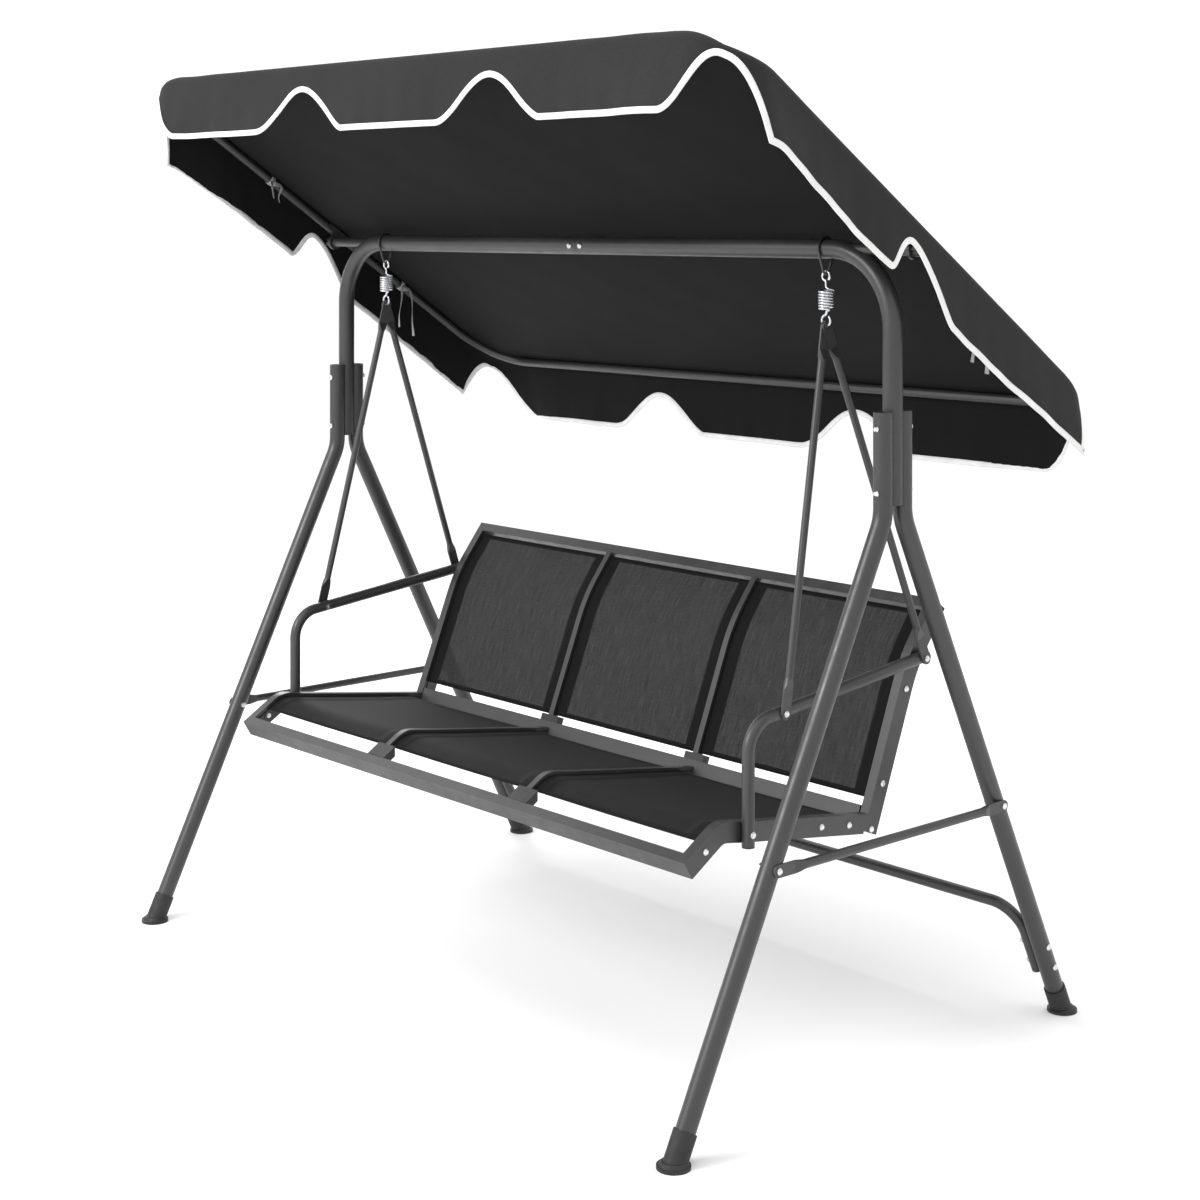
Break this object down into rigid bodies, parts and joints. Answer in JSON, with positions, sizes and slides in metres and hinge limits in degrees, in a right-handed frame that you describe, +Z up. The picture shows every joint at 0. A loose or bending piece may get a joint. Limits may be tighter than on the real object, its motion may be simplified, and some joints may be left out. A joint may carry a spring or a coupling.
{
  "type": "canopy swing bench",
  "caption": "Garden swing bench with a bent-tube A-frame stand, mesh sling seat and back hung on coil springs, and a tilting cloth canopy with a scalloped valance.",
  "frame": {"origin": "on the floor, midway between the four feet", "axes": "+Z up, +X along the bench to the right seen from the front, front faces -Y"},
  "size_m": [1.8262, 1.093, 1.8432],
  "materials": {
    "frame_paint": "satin charcoal powder coat",
    "bench_paint": "satin charcoal powder coat",
    "foot_rubber": "matt black",
    "zinc": "bright zinc plate",
    "black_wire": "black",
    "black_plastic": "moulded black",
    "seat_mesh": "woven coated mesh",
    "back_mesh": "woven coated mesh",
    "canopy_cloth": "plain weave polyester, dark grey",
    "binding": "white bias tape"
  },
  "bodies": {
    "stand": {"left_front_leg": "frame_paint", "left_rear_leg": "frame_paint", "right_front_leg": "frame_paint", "right_rear_leg": "frame_paint", "left_front_foot": "foot_rubber", "left_rear_foot": "foot_rubber", "right_front_foot": "foot_rubber", "right_rear_foot": "foot_rubber", "top_bar_left": "frame_paint", "top_bar_right": "frame_paint", "top_bar_sleeve": "frame_paint", "leg_bolts": "zinc", "frame_bolts": "zinc", "left_side_brace": "frame_paint", "right_side_brace": "frame_paint", "rear_crossbar": "frame_paint", "left_bar_loop": "black_wire", "right_bar_loop": "black_wire"},
    "left_spring": {"left_spring_top_hook": "zinc", "left_spring_coil": "zinc"},
    "left_spring_end": {"left_spring_low_hook": "zinc"},
    "right_spring": {"right_spring_top_hook": "zinc", "right_spring_coil": "zinc"},
    "right_spring_end": {"right_spring_low_hook": "zinc"},
    "bench": {"left_front_hanger": "bench_paint", "left_rear_hanger": "bench_paint", "right_front_hanger": "bench_paint", "right_rear_hanger": "bench_paint", "left_armrest": "bench_paint", "right_armrest": "bench_paint", "arm_plugs": "black_plastic", "arm_bolts": "zinc", "seat_front_bar": "bench_paint", "seat_left_rail": "bench_paint", "seat_right_rail": "bench_paint", "corner_plates": "bench_paint", "seat_left_rib": "bench_paint", "seat_right_rib": "bench_paint", "seat_left_cloth": "seat_mesh", "seat_middle_cloth": "seat_mesh", "seat_right_cloth": "seat_mesh", "back_top_bar": "bench_paint", "back_bottom_bar": "bench_paint", "back_left_rail": "bench_paint", "back_right_rail": "bench_paint", "back_left_rib": "bench_paint", "back_right_rib": "bench_paint", "back_left_cloth": "back_mesh", "back_middle_cloth": "back_mesh", "back_right_cloth": "back_mesh", "rib_clips": "black_plastic", "seat_bolts": "zinc"},
    "canopy": {"canopy_left_tube": "frame_paint", "canopy_right_tube": "frame_paint", "canopy_front_tube": "frame_paint", "canopy_rear_tube": "frame_paint", "canopy_cover": "canopy_cloth", "canopy_binding": "binding"},
    "left_knob": {"left_tilt_knob": "black_plastic"},
    "right_knob": {"right_tilt_knob": "black_plastic"}
  },
  "joints": [
    {"name": "swing", "type": "hinge", "parent": "stand", "child": "left_spring", "pos_m": [-0.677, 0, 1.431], "axis": [1, 0, 0], "range_deg": [-20, 20]},
    {"name": "right_swing", "type": "hinge", "parent": "stand", "child": "right_spring", "pos_m": [0.677, 0, 1.431], "axis": [1, 0, 0], "range_deg": [-20, 20]},
    {"name": "spring_stretch", "type": "slide", "parent": "left_spring", "child": "left_spring_end", "axis": [0, 0, -1], "range_m": [0, 0.03], "stiffness_N_per_m": 40000, "springref_m": -0.006, "deforming": ["left_spring_coil"]},
    {"name": "right_spring_stretch", "type": "slide", "parent": "right_spring", "child": "right_spring_end", "axis": [0, 0, -1], "range_m": [0, 0.03], "stiffness_N_per_m": 4000, "springref_m": -0.006, "deforming": ["right_spring_coil"]},
    {"name": "bench_pitch", "type": "hinge", "parent": "left_spring_end", "child": "bench", "pos_m": [-0.677, 0, 1.33405], "axis": [1, 0, 0], "range_deg": [-6, 6]},
    {"name": "canopy_tilt", "type": "hinge", "parent": "stand", "child": "canopy", "pos_m": [0, 0, 1.474], "axis": [-1, 0, 0], "range_deg": [-44, 6]},
    {"name": "left_knob_turn", "type": "hinge", "parent": "stand", "child": "left_knob", "pos_m": [-0.8825, 0, 1.474], "axis": [-1, 0, 0], "continuous": true},
    {"name": "right_knob_turn", "type": "hinge", "parent": "stand", "child": "right_knob", "pos_m": [0.8825, 0, 1.474], "axis": [1, 0, 0], "continuous": true}
  ],
  "couplings": [
    {"joint": "right_swing", "follows": "swing", "ratio": 1},
    {"joint": "right_spring_stretch", "follows": "spring_stretch", "ratio": 1}
  ]
}
